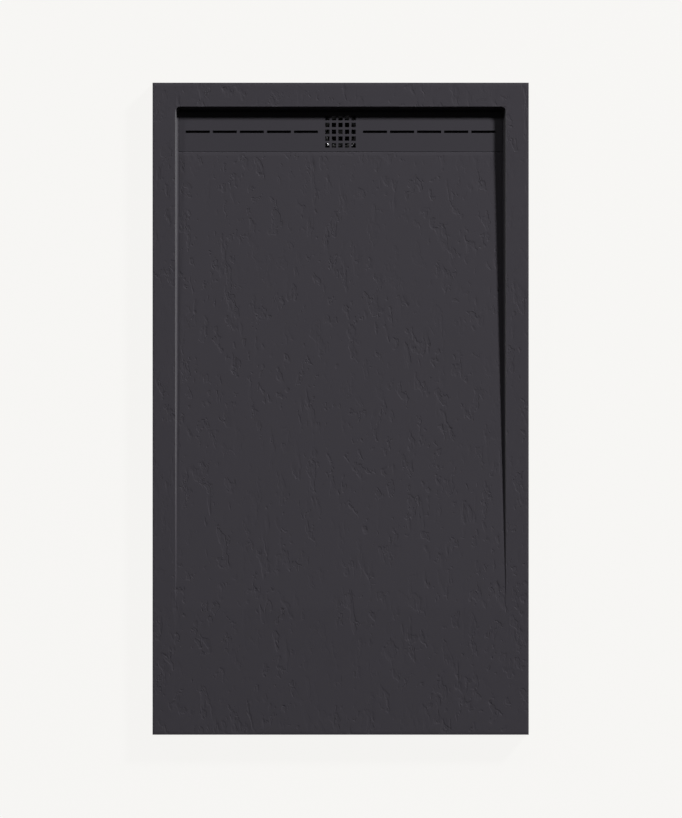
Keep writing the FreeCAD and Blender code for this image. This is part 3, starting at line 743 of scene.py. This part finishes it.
cover = bpy.data.objects.new("punched_cover", bpy.data.meshes.new("punched_cover"))
bpy.context.collection.objects.link(cover)
punch = cover.modifiers.new("punch", "NODES")
punch.node_group = punching
for name, value in {**sizes, **counts}.items():
    punch[inputs[name].identifier] = value
cover_middle = (cover_low.y + cover_high.y) / 2
punch[inputs["Place"].identifier] = (-PUNCH_OFFSET, cover_middle + PUNCH_OFFSET, cover_low.z)
punch[inputs["Finish"].identifier] = painted
rounding = cover.modifiers.new("edge", "BEVEL")
rounding.width = SHEET_EDGE
rounding.segments = 2
rounding.limit_method = "ANGLE"
rounding.angle_limit = SHEET_SHARP
finished = cover.evaluated_get(bpy.context.evaluated_depsgraph_get())
punched = bpy.data.meshes.new_from_object(finished)
cover.modifiers.clear()
cover.data = punched
for face in punched.polygons:
    face.use_smooth = max(abs(part) for part in face.normal) < FLAT_FACE
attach(cover, "cover")
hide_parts("drain_cover")


def give(finish, *nodes):
    """Gives a finish to carried-over pieces."""
    for node in nodes:
        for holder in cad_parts[node].material_slots:
            holder.material = finish


# Rails, lift bar and knob
# Stainless steel, drawn or turned, and left bare. The rails are welded under the sheet's
# long edges, the bar sits across the dip tube, and the knob is pressed into the strainer.
STEEL_DARK = (0.50, 0.49, 0.47)
STEEL_PALE = (0.64, 0.63, 0.61)
STEEL_ROUGHNESS = 0.09
DRAWN_LINE = (0.03, 0.0002, 0.0002)
DRAWN_DEPTH = 0.000006
STEEL_HAZE = 0.02

steel, shader, place = new_finish("bare_steel")
shader.inputs["Metallic"].default_value = 1.0
lines = place.stretched(*DRAWN_LINE).cloud(2.0)
haze = place.stretched(STEEL_HAZE, STEEL_HAZE, STEEL_HAZE).cloud(3.0)
(haze * 0.6 + lines * 0.4).colours(STEEL_DARK, STEEL_PALE).feed(shader, "Base Color")
(lines * 0.05 + haze * 0.03 + STEEL_ROUGHNESS).feed(shader, "Roughness")
set_bump(lines * DRAWN_DEPTH, shader)
give(steel, "cover_rails", "lift_bar", "strainer_knob")

# Pads and seals
# Moulded black rubber. The pads are glued under the rails, and the seals lie in their
# grooves or are clamped between the pieces that they seal.
RUBBER_DARK = (0.014, 0.014, 0.015)
RUBBER_PALE = (0.028, 0.028, 0.029)
RUBBER_ROUGHNESS = 0.62
DUST_CELL = 0.004
RUBBER_SKIN_CELL = 0.0005
RUBBER_SKIN_DEPTH = 0.00002

rubber, shader, place = new_finish("black_rubber")
dust = place.stretched(DUST_CELL, DUST_CELL, DUST_CELL).cloud(4.0)
dust.colours(RUBBER_DARK, RUBBER_PALE).feed(shader, "Base Color")
(dust * 0.2 + RUBBER_ROUGHNESS).feed(shader, "Roughness")
skin = place.stretched(RUBBER_SKIN_CELL, RUBBER_SKIN_CELL, RUBBER_SKIN_CELL).cloud(2.0)
set_bump(skin * RUBBER_SKIN_DEPTH, shader)
give(rubber, "cover_pads", "flange_gasket", "collar_gasket", "dip_tube_oring", "outlet_seal")

# Bright ring
# Pressed from thin steel, satin all over, with a raised outer rim and a rolled inner edge.
# It clips onto the clamp ring, and is what shines through the grid.
RING_TURNS = 160
RING_BORE = 0.0285
RING_LIP_DROP = 0.0014
RING_ROLL = 0.0002
RING_ROLL_POINTS = 5
RING_LOW_EDGE = 0.0297
RING_FLAT_END = 0.0348
RING_UNDER_FLAT_END = 0.034
RING_RIM_START = 0.0355
RING_RIM_RISE = 0.0007
RING_RISE_POINTS = 9
RING_PLATE = 0.0008
RING_SHARP = math.radians(40)
RING_DARK = (0.40, 0.40, 0.41)
RING_PALE = (0.48, 0.48, 0.49)
RING_ROUGHNESS = 0.28
RING_FILM = 0.01

ring_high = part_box("trim_ring")[1]
ring_flat = ring_high.z - RING_RIM_RISE
section = [(RING_BORE, ring_flat - RING_LIP_DROP)]
for turn in np.linspace(0, math.pi / 2, RING_ROLL_POINTS):
    reach = RING_BORE + RING_ROLL * (1 - math.cos(turn))
    section.append((reach, ring_flat - RING_ROLL * (1 - math.sin(turn))))
for rise in np.linspace(0, 1, RING_RISE_POINTS):
    reach = RING_FLAT_END + (RING_RIM_START - RING_FLAT_END) * rise
    section.append((reach, ring_flat + RING_RIM_RISE * rise * rise * (3 - 2 * rise)))
for turn in np.linspace(math.pi / 2, 0, RING_ROLL_POINTS):
    reach = ring_high.x - RING_ROLL * (1 - math.cos(turn))
    section.append((reach, ring_high.z - RING_ROLL * (1 - math.sin(turn))))
section.append((ring_high.x, ring_high.z - RING_PLATE))
section.append((RING_RIM_START, ring_high.z - RING_PLATE))
section.append((RING_UNDER_FLAT_END, ring_flat - RING_PLATE))
section.append((RING_LOW_EDGE, ring_flat - RING_PLATE))
pressing = bmesh.new()
loops = []
for turn in np.linspace(0, 2 * math.pi, RING_TURNS, endpoint=False):
    loops.append([
        pressing.verts.new((WASTE.x + r * math.cos(turn), WASTE.y + r * math.sin(turn), z))
        for r, z in section
    ])
for near, far in zip(loops, loops[1:] + loops[:1]):
    for a, b, c, d in zip(near, near[1:] + near[:1], far[1:] + far[:1], far):
        pressing.faces.new((a, b, c, d))
bmesh.ops.recalc_face_normals(pressing, faces=pressing.faces)
ring_mesh = bpy.data.meshes.new("waste_ring")
pressing.to_mesh(ring_mesh)
pressing.free()
for face in ring_mesh.polygons:
    face.use_smooth = True
ring_mesh.set_sharp_from_angle(angle=RING_SHARP)
ring = bpy.data.objects.new("waste_ring", ring_mesh)
bpy.context.collection.objects.link(ring)

satin, shader, place = new_finish("bright_ring")
shader.inputs["Metallic"].default_value = 1.0
film = place.stretched(RING_FILM, RING_FILM, RING_FILM).cloud(3.0)
film.colours(RING_DARK, RING_PALE).feed(shader, "Base Color")
(film * 0.06 + RING_ROUGHNESS).feed(shader, "Roughness")
ring_mesh.materials.append(satin)
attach(ring, "root")
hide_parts("trim_ring")

# Waste fitting
# Injection-moulded plastic: dark grey for what is seen or handled through the channel, and
# white for the trap and its outlet below the tray. The clamp ring's thread holds the two
# parts together through the tray, and the ball joint's nut holds the pipe.
GREY_DARK = (0.020, 0.021, 0.022)
GREY_PALE = (0.030, 0.031, 0.032)
GREY_ROUGHNESS = 0.45
WHITE_DARK = (0.72, 0.72, 0.70)
WHITE_PALE = (0.80, 0.80, 0.78)
WHITE_ROUGHNESS = 0.33
FLOW_CELL = 0.02
PLASTIC_SKIN_CELL = 0.0007
PLASTIC_SKIN_DEPTH = 0.00001


def plastic(name, low, high, roughness):
    """A moulded plastic with faint flow marks and a fine skin."""
    finish, shader, place = new_finish(name)
    flow = place.stretched(FLOW_CELL, FLOW_CELL, FLOW_CELL).cloud(3.0)
    flow.colours(low, high).feed(shader, "Base Color")
    skin = place.stretched(PLASTIC_SKIN_CELL, PLASTIC_SKIN_CELL, PLASTIC_SKIN_CELL).cloud(2.0)
    (skin * 0.1 + roughness).feed(shader, "Roughness")
    set_bump(skin * PLASTIC_SKIN_DEPTH, shader)
    return finish


grey = plastic("grey_plastic", GREY_DARK, GREY_PALE, GREY_ROUGHNESS)
give(grey, "clamp_ring", "dip_tube", "hair_strainer", "outlet_slip_ring")
white = plastic("white_plastic", WHITE_DARK, WHITE_PALE, WHITE_ROUGHNESS)
give(white, "slip_washer", "trap_body", "trap_base", "outlet_ball", "outlet_nut")

# Floor
# Plain pale ground, which the tray lies on, with a round opening for the trap. Camera and
# mirrored rays see its own colour with a little of the tray's shadow, and from below it
# can't be seen.
GROUND_REACH = 30.0
GROUND_LEVEL = 0.0002
TRAP_OPENING = 0.054
OPENING_POINTS = 49
BACKDROP = (0.930, 0.922, 0.904)
BOUNCE = (0.8, 0.8, 0.8)
SHADOW_SHARE = 0.03

ground_mesh = bpy.data.meshes.new("ground")
sheet = bmesh.new()
corners = [(-GROUND_REACH, -GROUND_REACH), (GROUND_REACH, -GROUND_REACH)]
corners += [(GROUND_REACH, GROUND_REACH), (-GROUND_REACH, GROUND_REACH)]
border = []
opening = arc_points((WASTE.x, WASTE.y), TRAP_OPENING, 0, 360, OPENING_POINTS)
for outline in (corners, opening[:-1]):
    verts = [sheet.verts.new((x, y, GROUND_LEVEL)) for x, y in outline]
    border += [sheet.edges.new(pair) for pair in zip(verts, verts[1:] + verts[:1])]
bmesh.ops.triangle_fill(sheet, use_beauty=True, edges=border)
for face in sheet.faces:
    if face.normal.z < 0:
        face.normal_flip()
sheet.to_mesh(ground_mesh)
sheet.free()
ground = bpy.data.objects.new("ground", ground_mesh)
bpy.context.collection.objects.link(ground)

paper = bpy.data.materials.new("ground")
paper.use_nodes = True
tree = paper.node_tree
tree.nodes.clear()
rays = tree.nodes.new("ShaderNodeLightPath")
seen = Wire(tree, rays.outputs["Is Camera Ray"])
seen = seen.math("MAXIMUM", seen, Wire(tree, rays.outputs["Is Glossy Ray"]))
seen = seen.math("MAXIMUM", seen, Wire(tree, rays.outputs["Is Transmission Ray"]))
glow = seen.node("ShaderNodeEmission", {}, {"Color": (*BACKDROP, 1.0)})
matt = seen.node("ShaderNodeBsdfDiffuse", {}, {"Color": (*BACKDROP, 1.0)})
shown = seen.node("ShaderNodeMixShader", {}, {0: SHADOW_SHARE, 1: glow, 2: matt})
bounce = seen.node("ShaderNodeBsdfDiffuse", {}, {"Color": (*BOUNCE, 1.0)})
top = seen.node("ShaderNodeMixShader", {}, {0: seen, 1: bounce, 2: shown})
clear = seen.node("ShaderNodeBsdfTransparent", {}, {})
under = seen.node("ShaderNodeNewGeometry", {}, {}, "Backfacing")
surface = seen.node("ShaderNodeMixShader", {}, {0: under, 1: top, 2: clear})
surface.feed(tree.nodes.new("ShaderNodeOutputMaterial"), "Surface")
ground_mesh.materials.append(paper)

# Light
# A broad lamp far off over the drain end's right corner, a weaker one over its left corner,
# and a soft one from below, which lights the underside only. Hardly any light comes from
# elsewhere, and mirrored rays see the pale backdrop near the horizon.
LAMP_DISTANCE = 16.5
LAMPS = {
    # direction in plan, height above the horizon, size, power
    "key": (46.0, 27.3, 2.0, 4640.0),
    "second": (127.0, 29.6, 2.0, 665.0),
    "below": (250.0, -40.0, 4.0, 1900.0),
}
for name, (azimuth, height, size, power) in LAMPS.items():
    lamp = bpy.data.objects.new(name, bpy.data.lights.new(name, "AREA"))
    lamp.data.shape = "DISK"
    lamp.data.size = size
    lamp.data.energy = power
    level = math.cos(math.radians(height))
    towards = Vector((
        level * math.cos(math.radians(azimuth)),
        level * math.sin(math.radians(azimuth)),
        math.sin(math.radians(height)),
    ))
    lamp.location = towards * LAMP_DISTANCE
    lamp.rotation_euler = towards.to_track_quat("Z", "Y").to_euler()
    bpy.context.collection.objects.link(lamp)

AMBIENT = 0.042
MIRRORED_LOSS = 0.7
WALL_TOP = (0.02, 0.14)

room = bpy.data.worlds.new("room")
bpy.context.scene.world = room
room.use_nodes = True
tree = room.node_tree
tree.nodes.clear()
rays = tree.nodes.new("ShaderNodeLightPath")
seen = Wire(tree, rays.outputs["Is Camera Ray"])
mirrored = Wire(tree, rays.outputs["Is Glossy Ray"])
mirrored = seen.math("MAXIMUM", mirrored, Wire(tree, rays.outputs["Is Transmission Ray"]))
towards = seen.node("ShaderNodeTexCoord", {}, {}, "Generated")
rise = seen.node("ShaderNodeSeparateXYZ", {}, {"Vector": towards}, "Z")
walls = 1 - rise.between(*WALL_TOP)
bright = seen.node("ShaderNodeBackground", {}, {"Color": (*BACKDROP, 1.0)})
dim = {"Color": (1.0, 1.0, 1.0, 1.0), "Strength": AMBIENT * (1 - mirrored * MIRRORED_LOSS)}
dim = seen.node("ShaderNodeBackground", {}, dim)
shown = seen.math("MAXIMUM", seen, mirrored * walls)
around = seen.node("ShaderNodeMixShader", {}, {0: shown, 1: dim, 2: bright})
around.feed(tree.nodes.new("ShaderNodeOutputWorld"), "Surface")

# Camera
# Straight above the tray and far away, so that the view is nearly without perspective.
# The frame's height is what it sees at the level of the rim.
FRAME_HEIGHT = 1.6308
FRAME_MIDDLE = (0.00074, -0.0006)
LENS = 300.0
SENSOR = 36.0
SIGHT_END = 100.0

camera = bpy.data.objects.new("camera", bpy.data.cameras.new("camera"))
camera.data.lens = LENS
camera.data.sensor_width = SENSOR
camera.data.clip_end = SIGHT_END
camera.location = (*FRAME_MIDDLE, RIM + FRAME_HEIGHT * LENS / SENSOR)
bpy.context.collection.objects.link(camera)
bpy.context.scene.camera = camera
bpy.context.scene.view_settings.view_transform = "Standard"
